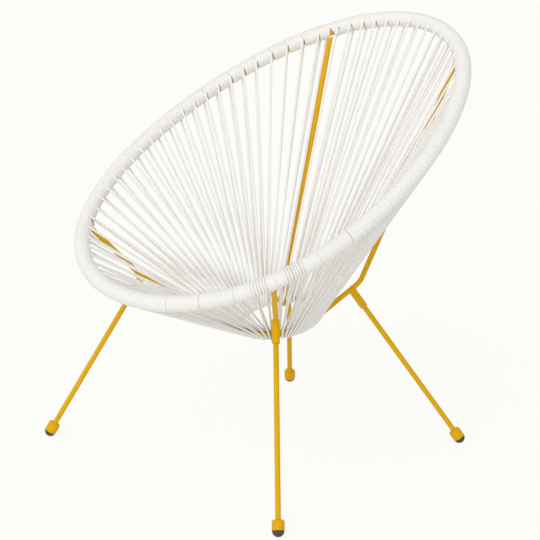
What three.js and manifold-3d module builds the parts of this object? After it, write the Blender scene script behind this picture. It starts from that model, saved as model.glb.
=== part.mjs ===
// Acapulco chair: a cord-wound oval rim, a small ring below it, four bent struts between them and
// four screwed-in legs. Millimetres, +Z up, origin on the floor below the rim's middle.
// The chair faces -Y, and the sitter's left is +X.
import * as THREE from 'three';
import { mergeVertices } from 'three/addons/utils/BufferGeometryUtils.js';
import Module from 'manifold-3d';

const wasm = await Module();
wasm.setup();

// Fits
const CLEARANCE = 0.3;
const OVERRUN = 2;

// Cord
const CORD = 5;

// Rim hoop: an egg-shaped oval, widest a little in front of its middle
const RIM_HALF_LENGTH = 465.5;
const RIM_HALF_WIDTH = 366.5;
const RIM_FRONT_EXTRA_WIDTH = 18.7;
const RIM_SIDE_EXTRA_WIDTH = 5.8;
const RIM_TILT = THREE.MathUtils.degToRad(29.3);
const RIM_HEIGHT = 641.3;
const RIM_TUBE = 24;
const RIM_WALL = 1.5;
const VENT = 6;

// Bottom ring, tilted the same way as the rim but less
const RING_RADIUS = 84;
const RING_ROD = 11;
const RING_TILT = THREE.MathUtils.degToRad(12);
const RING_BEHIND_RIM = 5;
const RING_HEIGHT = 284;

// Struts
const STRUT = 11;
const STRUT_BEND_RADIUS = 45;
const STRUT_TAIL = 8;
const STRUT_ROOM = STRUT + 2 * CLEARANCE;

// Where each pair of struts meets the hoops, how far down the web its bend lies, and how far the
// bend stands off the web and to the side
const STRUT_PAIRS = {
  front: {
    rimAngle: THREE.MathUtils.degToRad(134),
    ringAngle: THREE.MathUtils.degToRad(141),
    bendShare: 0.398,
    bendOut: 30.4,
    bendAside: 7.4,
    socketBelowBend: 7,
    footX: 358.7,
    footY: -333.0,
  },
  back: {
    rimAngle: THREE.MathUtils.degToRad(33.2),
    ringAngle: THREE.MathUtils.degToRad(40),
    bendShare: 0.845,
    bendOut: 46.2,
    bendAside: 15.8,
    socketBelowBend: 24,
    footX: 263.5,
    footY: 293.2,
  },
};

// Leg sockets, studs and legs
const SOCKET = 16;
const SOCKET_LENGTH = 48;
const SOCKET_EDGE = 1.5;
const STUD = 8;
const STUD_IN_SOCKET = 26;
const STUD_SHOWN = 4;
const STUD_IN_LEG = 30;
const STUD_EDGE = 1;
const LEG = 11;
const LEG_WALL = 1.2;

// Foot cups and rubber tips
const CUP = 25;
const CUP_HEIGHT = 21.5;
const CUP_SHOULDER = 4.5;
const CUP_WALL = 2;
const CUP_TOP = 3.5;
const TIP = 24;
const TIP_FLAT_DEPTH = 0.5;
const TIP_LIP = 0.8;
const LEG_IN_TIP = 9;

// Cord units between the struts, each one strand down over the ring and one back up
const UNITS_BACK = 13;
const UNITS_SIDE = 22;
const UNITS_FRONT = 19;
const UNIT_GAP_AT_STRUT = 53;
const WRAP_GAP_AT_STRUT = 3;
const LOOP_GAP_AT_STRUT = 18;

// Facets
const RIM_SIDES = 10;
const RING_SIDES = 8;
const HOLLOW_SIDES = 6;
const ROD_SIDES = 8;
const TURNED_SIDES = 12;
const BEND_STEPS = 3;
const STRAND_SIDES = 4;
const COPING_STEPS = 2;
const SHOULDER_STEPS = 3;
const DOME_STEPS = 6;
const UNITS_PER_CHORD = 2;

// Working steps
const HOOP_SAMPLES = 1440;
const TANGENT_STEP = 1e-4;
const SAME_PLACE = 1e-5;
const HALF_A_FACET = 1 / 2;

// Colours and finishes
const POWDER_COAT = { color: 0xdeaa05, roughness: 0.4, metalness: 0 };
const PVC_CORD = { color: 0xf2efec, roughness: 0.45, metalness: 0 };
const RUBBER = { color: 0x3a332c, roughness: 0.8, metalness: 0 };
const ZINC = { color: 0xb9bcbd, roughness: 0.35, metalness: 1 };

const FULL_TURN = 2 * Math.PI;
const HANDS = { left: 1, right: -1 };
const SIDE = new THREE.Vector3(1, 0, 0);

// A level or tilted closed hoop: its plane, its outline, and its length measured from the back
class Hoop {
  constructor(centre, tilt, outline) {
    this.centre = centre;
    this.rise = new THREE.Vector3(0, Math.cos(tilt), Math.sin(tilt));
    this.normal = new THREE.Vector3(0, -Math.sin(tilt), Math.cos(tilt));
    this.outline = outline;
    this.angles = [];
    this.lengths = [0];
    for (let i = 0; i <= HOOP_SAMPLES; i += 1) {
      this.angles.push(FULL_TURN * i / HOOP_SAMPLES);
      if (i > 0) {
        const step = this.point(this.angles[i]).distanceTo(this.point(this.angles[i - 1]));
        this.lengths.push(this.lengths[i - 1] + step);
      }
    }
    this.length = this.lengths[HOOP_SAMPLES];
  }

  point(angle) {
    const [x, along] = this.outline(angle);
    return this.centre.clone().addScaledVector(SIDE, x).addScaledVector(this.rise, along);
  }

  tangent(angle) {
    return this.point(angle + TANGENT_STEP).sub(this.point(angle - TANGENT_STEP)).normalize();
  }

  // Interpolates in one list to read the same place in the other
  static read(value, from, to) {
    let i = 1;
    while (i < from.length - 1 && from[i] < value) i += 1;
    return THREE.MathUtils.mapLinear(value, from[i - 1], from[i], to[i - 1], to[i]);
  }

  lengthAt(angle) {
    return Hoop.read(angle, this.angles, this.lengths);
  }

  angleAt(length) {
    const turns = Math.floor(length / this.length);
    const rest = length - turns * this.length;
    return turns * FULL_TURN + Hoop.read(rest, this.lengths, this.angles);
  }

  // A polygon round the hoop's line, square to it
  section(angle, radius, sides) {
    const across = new THREE.Vector3().crossVectors(this.normal, this.tangent(angle));
    return polygon(this.point(angle), across, this.normal, radius, sides);
  }
}

const wrapInside = RIM_TUBE / 2 + CLEARANCE;
const loopInside = RING_ROD / 2 + CLEARANCE;

// A polygon's corners round a middle, from two directions that are square to each other
function polygon(middle, first, second, radius, sides, shift = 0) {
  return Array.from({ length: sides }, (_, k) => {
    const turn = FULL_TURN * (k + shift) / sides;
    return middle.clone()
      .addScaledVector(first, radius * Math.cos(turn))
      .addScaledVector(second, radius * Math.sin(turn));
  });
}

const rim = new Hoop(new THREE.Vector3(0, 0, RIM_HEIGHT), RIM_TILT, (angle) => [
  RIM_HALF_WIDTH * Math.sin(angle) - RIM_FRONT_EXTRA_WIDTH * Math.sin(2 * angle)
    + RIM_SIDE_EXTRA_WIDTH * Math.sin(3 * angle),
  RIM_HALF_LENGTH * Math.cos(angle),
]);
const ring = new Hoop(new THREE.Vector3(0, RING_BEHIND_RIM, RING_HEIGHT), RING_TILT, (angle) => [
  RING_RADIUS * Math.sin(angle),
  RING_RADIUS * Math.cos(angle),
]);

// Joins rings of points into a closed skin, with flat ends unless it runs round to its start
function skin(rings, runsRound = false) {
  const sides = rings[0].length;
  const positions = rings.flat().flatMap((p) => [p.x, p.y, p.z]);
  const faces = [];
  const spans = runsRound ? rings.length : rings.length - 1;
  for (let i = 0; i < spans; i += 1) {
    const next = (i + 1) % rings.length;
    for (let k = 0; k < sides; k += 1) {
      const a = i * sides + k;
      const b = i * sides + (k + 1) % sides;
      const c = next * sides + (k + 1) % sides;
      const d = next * sides + k;
      faces.push(a, b, c, a, c, d);
    }
  }
  if (!runsRound) {
    const last = (rings.length - 1) * sides;
    for (let k = 1; k < sides - 1; k += 1) {
      faces.push(0, k + 1, k);
      faces.push(last, last + k, last + k + 1);
    }
  }
  const geometry = new THREE.BufferGeometry();
  geometry.setAttribute('position', new THREE.Float32BufferAttribute(positions, 3));
  geometry.setIndex(faces);
  return geometry;
}

// A closed geometry as a solid for joins and cuts, turned the right way out if it needs it
function toSolid(geometry) {
  const bare = geometry.clone();
  bare.deleteAttribute('normal');
  bare.deleteAttribute('uv');
  const merged = mergeVertices(bare, SAME_PLACE);
  const triVerts = Uint32Array.from(merged.index.array);
  const vertProperties = Float32Array.from(merged.attributes.position.array);
  const make = () => new wasm.Manifold(new wasm.Mesh({ numProp: 3, vertProperties, triVerts }));
  const solid = make();
  if (solid.volume() > 0) return solid;
  for (let i = 0; i < triVerts.length; i += 3) {
    [triVerts[i + 1], triVerts[i + 2]] = [triVerts[i + 2], triVerts[i + 1]];
  }
  return make();
}

function toGeometry(solid) {
  const mesh = solid.getMesh();
  const geometry = new THREE.BufferGeometry();
  geometry.setAttribute('position', new THREE.Float32BufferAttribute(mesh.vertProperties, 3));
  geometry.setIndex(Array.from(mesh.triVerts));
  return geometry;
}

// Polygon radius whose flats stand at the given distance from the middle
const overFlats = (radius, sides) => radius / Math.cos(Math.PI / sides);

// Even steps from one angle to another
function steps(from, to, count) {
  return Array.from({ length: count + 1 }, (_, i) => from + (to - from) * i / count);
}

// A straight bar of the given radius
function bar(from, to, radius, sides) {
  const along = to.clone().sub(from).normalize();
  const aside = new THREE.Vector3().crossVectors(along, SIDE).normalize();
  const third = new THREE.Vector3().crossVectors(along, aside);
  return toSolid(skin([from, to].map((end) => polygon(end, aside, third, radius, sides))));
}

// A route through chosen places, walked place by place so a long straight takes one step
class RodLine extends THREE.Curve {
  constructor(places) {
    super();
    this.places = places;
  }

  getPoint(t) {
    const scaled = t * (this.places.length - 1);
    const i = Math.min(Math.floor(scaled), this.places.length - 2);
    return this.places[i].clone().lerp(this.places[i + 1], scaled - i);
  }

  getPointAt(u) {
    return this.getPoint(u);
  }

  getSpacedPoints(divisions) {
    return this.getPoints(divisions);
  }

  getTangentAt(u) {
    const last = this.places.length - 1;
    const i = Math.round(u * last);
    const before = this.places[Math.max(i - 1, 0)];
    const after = this.places[Math.min(i + 1, last)];
    return after.clone().sub(before).normalize();
  }
}

// The places along a rod that is bent once, with the bend as an arc
function bentPlaces(start, corner, end, bendRadius) {
  const into = corner.clone().sub(start).normalize();
  const out = end.clone().sub(corner).normalize();
  const turn = into.angleTo(out);
  const setback = bendRadius * Math.tan(turn / 2);
  const inward = out.clone().sub(into).normalize();
  const centre = corner.clone().addScaledVector(inward, bendRadius / Math.cos(turn / 2));
  const axis = new THREE.Vector3().crossVectors(into, out).normalize();
  const first = corner.clone().addScaledVector(into, -setback).sub(centre);
  const arc = steps(0, turn, BEND_STEPS)
    .map((angle) => first.clone().applyAxisAngle(axis, angle).add(centre));
  return [start, ...arc, end];
}

function rodAlong(places, diameter) {
  const shape = new THREE.Shape().absarc(0, 0, diameter / 2, 0, FULL_TURN);
  return toSolid(new THREE.ExtrudeGeometry(shape, {
    steps: places.length - 1,
    extrudePath: new RodLine(places),
    curveSegments: ROD_SIDES,
  }));
}

// A strut's lines: from the rim's middle line to its bend and on under the ring
function strutLines({ rimAngle, ringAngle, bendShare, bendOut, bendAside }) {
  const top = rim.point(rimAngle);
  const over = ring.point(ringAngle);
  const down = over.clone().sub(top);
  const along = down.clone().normalize();
  const out = new THREE.Vector3().crossVectors(rim.tangent(rimAngle), along).normalize();
  const aside = new THREE.Vector3().crossVectors(along, out);
  const bend = top.clone()
    .addScaledVector(down, bendShare)
    .addScaledVector(out, bendOut)
    .addScaledVector(aside, bendAside);
  const reach = (STRUT + RING_ROD) / 2 + CLEARANCE;
  const towards = over.clone().sub(bend);
  const dip = Math.asin(reach / towards.length());
  towards.normalize();
  const under = new THREE.Vector3().crossVectors(ring.tangent(ringAngle), towards).normalize();
  const seat = over.clone()
    .addScaledVector(under, reach * Math.cos(dip))
    .addScaledVector(towards, -reach * Math.sin(dip));
  const lower = seat.clone().sub(bend).normalize();
  return { top, bend, end: seat.clone().addScaledVector(lower, STRUT_TAIL), lower };
}

// The same place on the chair's other side
const mirrored = (point, side) => new THREE.Vector3(point.x * side, point.y, point.z);

// A strut's bent rod, as thick as the strut or as the room that it needs
function strutRod(pair, side, diameter) {
  const lines = strutLines(pair);
  const places = bentPlaces(lines.top, lines.bend, lines.end, STRUT_BEND_RADIUS)
    .map((place) => mirrored(place, side));
  return rodAlong(places, diameter);
}

function makeStrut(pair, side) {
  const reach = 2 * STRUT / rim.length * FULL_TURN;
  const hoop = toSolid(skin(steps(-reach, reach, COPING_STEPS).map((offset) => rim.section(
    side * pair.rimAngle + offset,
    overFlats(wrapInside, RIM_SIDES),
    RIM_SIDES,
  ))));
  return strutRod(pair, side, STRUT).subtract(hoop);
}

// The leg's axis: from its place on the strut down to the middle of the tip's dome
function legLines(pair, side) {
  const { bend, lower } = strutLines(pair);
  const head = bend.clone().addScaledVector(lower, pair.socketBelowBend);
  const foot = new THREE.Vector3(pair.footX, pair.footY, TIP / 2 - TIP_FLAT_DEPTH);
  const from = mirrored(head, side);
  const to = mirrored(foot, side);
  return { head: from, foot: to, down: to.clone().sub(from).normalize(), length: from.distanceTo(to) };
}

// Turns a lathe's +Y onto a direction and moves its foot to a place
function stand(geometry, place, direction) {
  const turn = new THREE.Quaternion().setFromUnitVectors(new THREE.Vector3(0, 1, 0), direction);
  return geometry.applyMatrix4(new THREE.Matrix4().compose(place, turn, new THREE.Vector3(1, 1, 1)));
}

const turned = (outline) => new THREE.LatheGeometry(
  outline.map(([radius, height]) => new THREE.Vector2(radius, height)), TURNED_SIDES,
);

// A quarter circle on a turned outline, from the side to the top
function quarter(centreRadius, centreHeight, radius) {
  return steps(0, Math.PI / 2, SHOULDER_STEPS).map((angle) => [
    centreRadius + radius * Math.cos(angle),
    centreHeight + radius * Math.sin(angle),
  ]);
}

// Socket: a bored sleeve with chamfered ends, shaped at its head to sit on the strut
function makeSocket(pair, side) {
  const { head, down } = legLines(pair, side);
  const r = SOCKET / 2;
  const body = toSolid(stand(turned([
    [0, 0], [r - SOCKET_EDGE, 0], [r, SOCKET_EDGE],
    [r, SOCKET_LENGTH - SOCKET_EDGE], [r - SOCKET_EDGE, SOCKET_LENGTH], [0, SOCKET_LENGTH],
  ]), head, down));
  const boreTop = SOCKET_LENGTH - STUD_IN_SOCKET - OVERRUN;
  const boreRadius = overFlats(STUD / 2 + CLEARANCE, TURNED_SIDES);
  const bore = toSolid(stand(turned([
    [0, boreTop], [boreRadius, boreTop],
    [boreRadius, SOCKET_LENGTH + OVERRUN], [0, SOCKET_LENGTH + OVERRUN],
  ]), head, down));
  return body.subtract(bore).subtract(strutRod(pair, side, STRUT_ROOM));
}

function makeStud(pair, side) {
  const { head, down } = legLines(pair, side);
  const top = SOCKET_LENGTH - STUD_IN_SOCKET;
  const bottom = SOCKET_LENGTH + STUD_SHOWN + STUD_IN_LEG;
  const r = STUD / 2;
  return toSolid(stand(turned([
    [0, top], [r - STUD_EDGE, top], [r, top + STUD_EDGE],
    [r, bottom - STUD_EDGE], [r - STUD_EDGE, bottom], [0, bottom],
  ]), head, down));
}

// Leg: a tube from just below its socket into the rubber tip
function makeLeg(pair, side) {
  const { head, down, length } = legLines(pair, side);
  const top = SOCKET_LENGTH + STUD_SHOWN;
  const bottom = length - LEG_IN_TIP;
  const r = LEG / 2;
  const bore = r - LEG_WALL;
  return toSolid(stand(turned([
    [bore, top], [r, top], [r, bottom], [bore, bottom], [bore, top],
  ]), head, down));
}

// Foot cup, upside down on the leg: a rounded shoulder, a hole for the leg and a room for the tip
function makeCup(pair, side) {
  const { down, foot } = legLines(pair, side);
  const r = CUP / 2;
  const hole = overFlats(LEG / 2 + CLEARANCE, TURNED_SIDES);
  const room = r - CUP_WALL;
  const back = down.clone().negate();
  return toSolid(stand(turned([
    [hole, CUP_HEIGHT], [hole, CUP_HEIGHT - CUP_TOP], [room, CUP_HEIGHT - CUP_TOP],
    [room, CLEARANCE], [r, CLEARANCE],
    ...quarter(r - CUP_SHOULDER, CUP_HEIGHT - CUP_SHOULDER, CUP_SHOULDER),
    [hole, CUP_HEIGHT],
  ]), foot, back));
}

// Rubber tip: a plug inside the cup, bored for the leg, and a dome below that is flat on the floor
function makeTip(pair, side) {
  const { down, foot } = legLines(pair, side);
  const plug = CUP / 2 - CUP_WALL - CLEARANCE;
  const plugTop = CUP_HEIGHT - CUP_TOP - CLEARANCE;
  const bore = overFlats(LEG / 2 + CLEARANCE, TURNED_SIDES);
  const boreBottom = LEG_IN_TIP - CLEARANCE;
  const r = TIP / 2;
  const dome = steps(0, -Math.PI / 2, DOME_STEPS)
    .map((angle) => [r * Math.cos(angle), r * Math.sin(angle)]);
  const back = down.clone().negate();
  const body = toSolid(stand(turned([
    [0, boreBottom], [bore, boreBottom], [bore, plugTop], [plug, plugTop],
    [plug, 0], [r - TIP_LIP, 0], ...dome.slice(0, -1), [0, -r],
  ]), foot, back));
  const below = new THREE.BoxGeometry(2 * TIP, 2 * TIP, TIP);
  below.translate(foot.x, foot.y, -TIP / 2);
  return body.subtract(toSolid(below));
}

// The rim hoop: one tube all the way round, hollow, with a vent under each strut
function makeRimHoop(stations) {
  const outside = toSolid(skin(webTube(stations, 'onRim', RIM_TUBE / 2, RIM_SIDES), true));
  const hollow = RIM_TUBE / 2 - RIM_WALL;
  const inside = toSolid(skin(webTube(stations, 'onRim', hollow, RIM_SIDES), true));
  let hoop = outside.subtract(inside);
  for (const pair of Object.values(STRUT_PAIRS)) {
    for (const side of Object.values(HANDS)) {
      const { top, bend } = strutLines(pair);
      const reach = top.clone().sub(bend).setLength(RIM_TUBE);
      const from = mirrored(top, side);
      const to = mirrored(top.clone().sub(reach), side);
      hoop = hoop.subtract(bar(from, to, VENT / 2, HOLLOW_SIDES));
    }
  }
  return hoop;
}

const makeBottomRing = (stations) => toSolid(
  skin(webTube(stations, 'onRing', RING_ROD / 2, RING_SIDES), true),
);

// The four stretches of cord between the struts, as lengths along the rim and the ring
function cordSpans() {
  const { front, back } = STRUT_PAIRS;
  const places = (hoop, frontAngle, backAngle) => {
    const toBack = hoop.lengthAt(backAngle);
    const toFront = hoop.lengthAt(frontAngle);
    return [-toBack, toBack, toFront, hoop.length - toFront, hoop.length - toBack];
  };
  const rimPlaces = places(rim, front.rimAngle, back.rimAngle);
  const ringPlaces = places(ring, front.ringAngle, back.ringAngle);
  const counts = { back: UNITS_BACK, left: UNITS_SIDE, front: UNITS_FRONT, right: UNITS_SIDE };
  return Object.entries(counts).map(([name, count], i) => ({
    name,
    onRim: unitPlaces(rimPlaces[i], rimPlaces[i + 1], count, UNIT_GAP_AT_STRUT, WRAP_GAP_AT_STRUT),
    onRing: unitPlaces(ringPlaces[i], ringPlaces[i + 1], count, LOOP_GAP_AT_STRUT,
      LOOP_GAP_AT_STRUT - CORD),
  }));
}

// Where a stretch's units stand along a hoop, and where its winding starts and ends
function unitPlaces(from, to, count, unitGap, endGap) {
  return {
    units: steps(from + unitGap / 2, to - unitGap / 2, count - 1),
    first: from + endGap / 2,
    last: to - endGap / 2,
  };
}

// The edge after a unit: the stretch's own end, or halfway to the next unit
function edgeAfter({ units, first, last }, unit) {
  if (unit < 0) return first;
  if (unit >= units.length - 1) return last;
  return (units[unit] + units[unit + 1]) / 2;
}

// Where the web crosses both hoops: the place and direction on each, and the way down between them
function webStation(rimLength, ringLength) {
  const [onRim, onRing] = [[rim, rimLength], [ring, ringLength]].map(([hoop, length]) => {
    const angle = hoop.angleAt(length);
    return { point: hoop.point(angle), tangent: hoop.tangent(angle) };
  });
  const down = onRing.point.clone().sub(onRim.point).normalize();
  return { onRim, onRing, down };
}

// A panel's edges along the rim and the ring, less an inset where it meets the next panel
function panelEdges(span, firstUnit, lastUnit, inset) {
  return [span.onRim, span.onRing].map((places) => [
    edgeAfter(places, firstUnit - 1) + (firstUnit > 0 ? inset : 0),
    edgeAfter(places, lastUnit) - (lastUnit < places.units.length - 1 ? inset : 0),
  ]);
}

// The stations of one panel, evenly from edge to edge
function webStations(span, firstUnit, lastUnit, inset) {
  const count = Math.ceil((lastUnit - firstUnit + 1) / UNITS_PER_CHORD);
  const [onRim, onRing] = panelEdges(span, firstUnit, lastUnit, inset)
    .map(([from, to]) => steps(from, to, count));
  return onRim.map((length, i) => webStation(length, onRing[i]));
}

// A tube's corners at a station, in the plane that holds the strands there, with flats off the web
function webSection({ point, tangent }, down, radius, sides) {
  const off = new THREE.Vector3().crossVectors(down, tangent).normalize();
  const square = new THREE.Vector3().crossVectors(tangent, off);
  return polygon(point, off, down.clone().divideScalar(down.dot(square)), radius, sides, HALF_A_FACET);
}

function webTube(stations, hoop, radius, sides) {
  return stations.map((station) => webSection(station[hoop], station.down, radius, sides));
}

// A sleeve of wound cord round part of a hoop, open at both ends
function cordSleeve(stations, hoop, inside, sides) {
  const outer = webTube(stations, hoop, overFlats(inside + CORD, sides), sides);
  const inner = webTube(stations, hoop, overFlats(inside, sides), sides);
  return toSolid(skin([...outer, ...inner.reverse()], true));
}

// A place on the straight chords between stations
function onChords(stations, hoop, share) {
  const place = share * (stations.length - 1);
  const i = THREE.MathUtils.clamp(Math.floor(place), 0, stations.length - 2);
  const [start, end] = [stations[i][hoop].point, stations[i + 1][hoop].point];
  return { point: start.clone().lerp(end, place - i), tangent: end.clone().sub(start).normalize() };
}

// One strand between the hoops, above or below their middles, square in section with the cord's area
function strand(rimEnd, ringEnd, layer) {
  const down = ringEnd.point.clone().sub(rimEnd.point).normalize();
  const corner = CORD * Math.sqrt(Math.PI / 8);
  const ends = [[rimEnd, wrapInside], [ringEnd, loopInside]].map(([{ point, tangent }, inside]) => {
    const off = new THREE.Vector3().crossVectors(down, tangent).normalize();
    const across = new THREE.Vector3().crossVectors(down, off);
    const middle = point.clone().addScaledVector(off, layer * (inside + CORD / 2));
    return polygon(middle, off, across, corner, STRAND_SIDES, HALF_A_FACET);
  });
  return toSolid(skin(ends));
}

// One panel of cord, as one body: its winding on the rim, its loops on the ring, and its strands,
// which run like a belt over and under the two hoops. The winding is notched where a strut leaves
function cordPanel(span, firstUnit, lastUnit) {
  const stations = webStations(span, firstUnit, lastUnit, CLEARANCE / 2);
  const [rimEdges, ringEdges] = panelEdges(span, firstUnit, lastUnit, CLEARANCE / 2);
  const shareOf = (length, [from, to]) => (length - from) / (to - from);
  const solids = [
    cordSleeve(stations, 'onRim', wrapInside, RIM_SIDES),
    cordSleeve(stations, 'onRing', loopInside, RING_SIDES),
  ];
  for (let unit = firstUnit; unit <= lastUnit; unit += 1) {
    const ringEnd = onChords(stations, 'onRing', shareOf(span.onRing.units[unit], ringEdges));
    const down = span.onRim.units[unit];
    const back = down + CORD;
    solids.push(strand(onChords(stations, 'onRim', shareOf(down, rimEdges)), ringEnd, 1));
    solids.push(strand(onChords(stations, 'onRim', shareOf(back, rimEdges)), ringEnd, -1));
  }
  const rooms = Object.values(STRUT_PAIRS).flatMap((pair) => Object.values(HANDS)
    .map((side) => strutRod(pair, side, STRUT_ROOM)));
  return wasm.Manifold.union(solids).subtract(wasm.Manifold.union(rooms));
}

const chair = new THREE.Group();

function addMesh(name, solid, finish) {
  const mesh = new THREE.Mesh(toGeometry(solid), new THREE.MeshStandardMaterial(finish));
  mesh.name = name;
  chair.add(mesh);
}

const hoopStations = [];
for (const span of cordSpans()) {
  const last = span.onRim.units.length - 1;
  const middle = Math.floor(last / 2);
  addMesh(`cord_${span.name}_1`, cordPanel(span, 0, middle), PVC_CORD);
  addMesh(`cord_${span.name}_2`, cordPanel(span, middle + 1, last), PVC_CORD);
  hoopStations.push(...webStations(span, 0, middle, 0).slice(0, -1));
  hoopStations.push(...webStations(span, middle + 1, last, 0));
}

addMesh('rim_hoop', makeRimHoop(hoopStations), POWDER_COAT);
addMesh('bottom_ring', makeBottomRing(hoopStations), POWDER_COAT);

for (const [place, pair] of Object.entries(STRUT_PAIRS)) {
  for (const [hand, side] of Object.entries(HANDS)) {
    addMesh(`strut_${place}_${hand}`, makeStrut(pair, side), POWDER_COAT);
    addMesh(`leg_socket_${place}_${hand}`, makeSocket(pair, side), POWDER_COAT);
    addMesh(`leg_stud_${place}_${hand}`, makeStud(pair, side), ZINC);
    addMesh(`leg_${place}_${hand}`, makeLeg(pair, side), POWDER_COAT);
    addMesh(`foot_cup_${place}_${hand}`, makeCup(pair, side), POWDER_COAT);
    addMesh(`rubber_tip_${place}_${hand}`, makeTip(pair, side), RUBBER);
  }
}

export default chair;
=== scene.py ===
"""The looks of a cord-wound acapulco chair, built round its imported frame. Metres, +Z up."""

import math

import bpy
import numpy as np
from bpy.props import (
    FloatProperty,
    FloatVectorProperty,
    IntProperty,
    IntVectorProperty,
    PointerProperty,
)
from mathutils import Matrix


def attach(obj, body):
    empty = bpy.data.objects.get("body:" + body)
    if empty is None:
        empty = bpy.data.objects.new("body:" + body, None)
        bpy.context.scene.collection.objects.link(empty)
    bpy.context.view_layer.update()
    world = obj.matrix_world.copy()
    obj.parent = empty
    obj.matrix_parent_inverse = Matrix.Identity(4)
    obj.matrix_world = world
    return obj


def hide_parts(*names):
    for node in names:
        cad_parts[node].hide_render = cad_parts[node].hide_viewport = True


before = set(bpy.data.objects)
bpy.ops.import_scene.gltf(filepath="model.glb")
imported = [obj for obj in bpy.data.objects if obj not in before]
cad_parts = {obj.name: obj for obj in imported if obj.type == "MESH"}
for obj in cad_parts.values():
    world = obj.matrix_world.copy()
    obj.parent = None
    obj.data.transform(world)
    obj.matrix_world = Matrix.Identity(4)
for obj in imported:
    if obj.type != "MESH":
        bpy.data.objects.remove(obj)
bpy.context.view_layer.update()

bl_info = {
    "name": "Acapulco chair looks",
    "version": (1, 0, 0),
    "blender": (4, 5, 0),
    "location": "3D View > Sidebar > Chair",
    "description": "Builds the wound cord, the coated frame and the feet of an acapulco chair",
    "category": "Add Mesh",
}

ROOT = "root"
PAIRS = ("front", "back")
HANDS = {"left": 1.0, "right": -1.0}
CORNERS = [(pair, hand) for pair in PAIRS for hand in HANDS]
SPANS = ("back", "left", "front", "right")
IMAGE_PX = 540
SENSOR_MM = 36.0
MM = 0.001


def linear_colour(hex_value):
    """An sRGB hex value as linear red, green and blue."""
    channels = np.array([hex_value >> 16 & 255, hex_value >> 8 & 255, hex_value & 255]) / 255
    linear = np.where(channels <= 0.04045, channels / 12.92, ((channels + 0.055) / 1.055) ** 2.4)
    return tuple(float(value) for value in linear)


class HoopSettings(bpy.types.PropertyGroup):
    """The two hoops: the oval rim and the small ring below it."""

    rim_half_length: FloatProperty(
        name="Rim half length", description="From the rim's middle to its front or back",
        default=0.4655, unit="LENGTH")
    rim_half_width: FloatProperty(
        name="Rim half width", description="From the rim's middle to its side, before its fullness",
        default=0.3665, unit="LENGTH")
    rim_front_fullness: FloatProperty(
        name="Front fullness", description="How much wider the front half is than the back half",
        default=0.0187, unit="LENGTH")
    rim_side_fullness: FloatProperty(
        name="Side fullness", description="How much the sides flatten",
        default=0.0058, unit="LENGTH")
    rim_tilt: FloatProperty(
        name="Rim tilt", description="How far the rim's plane leans back",
        default=math.radians(29.3), subtype="ANGLE")
    rim_height: FloatProperty(
        name="Rim height", description="The rim's middle above the floor",
        default=0.6413, unit="LENGTH")
    rim_tube: FloatProperty(
        name="Rim tube", description="The rim tube's outside diameter",
        default=0.024, unit="LENGTH")
    ring_radius: FloatProperty(
        name="Ring radius", description="The bottom ring's radius at its middle line",
        default=0.084, unit="LENGTH")
    ring_tilt: FloatProperty(
        name="Ring tilt", description="How far the bottom ring leans back",
        default=math.radians(12), subtype="ANGLE")
    ring_behind_rim: FloatProperty(
        name="Ring setback", description="The ring's middle behind the rim's middle",
        default=0.005, unit="LENGTH")
    ring_height: FloatProperty(
        name="Ring height", description="The ring's middle above the floor",
        default=0.284, unit="LENGTH")
    ring_rod: FloatProperty(
        name="Ring rod", description="The ring rod's diameter", default=0.011, unit="LENGTH")


class StrutSettings(bpy.types.PropertyGroup):
    """The four struts, as a front pair and a back pair."""

    diameter: FloatProperty(
        name="Strut diameter", description="The rod's diameter", default=0.011, unit="LENGTH")
    bend_radius: FloatProperty(
        name="Bend radius", description="The bend's radius at the rod's middle line",
        default=0.045, unit="LENGTH")
    tail: FloatProperty(
        name="Tail", description="How far a strut runs on past the ring",
        default=0.008, unit="LENGTH")
    rim_angles: FloatVectorProperty(
        name="Rim angles", description="Where each pair meets the rim, from the back", size=2,
        default=(math.radians(134), math.radians(33.2)), subtype="NONE")
    ring_angles: FloatVectorProperty(
        name="Ring angles", description="Where each pair crosses the ring, from the back", size=2,
        default=(math.radians(141), math.radians(40)), subtype="NONE")
    bend_shares: FloatVectorProperty(
        name="Bend shares", description="How far down from rim to ring each bend lies", size=2,
        default=(0.398, 0.845))
    bend_outs: FloatVectorProperty(
        name="Bend stand-off", description="How far each bend stands off the cords", size=2,
        default=(0.0304, 0.0462), unit="LENGTH")
    bend_asides: FloatVectorProperty(
        name="Bend offset", description="How far each bend lies to the side", size=2,
        default=(0.0074, 0.0158), unit="LENGTH")
    sockets_below_bend: FloatVectorProperty(
        name="Socket places", description="How far below its bend each leg socket sits", size=2,
        default=(0.007, 0.024), unit="LENGTH")
    feet_x: FloatVectorProperty(
        name="Feet to the side", description="Each pair's feet from the middle", size=2,
        default=(0.3587, 0.2635), unit="LENGTH")
    feet_y: FloatVectorProperty(
        name="Feet back and forth", description="Each pair's feet before or behind the middle",
        size=2, default=(-0.333, 0.2932), unit="LENGTH")


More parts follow.
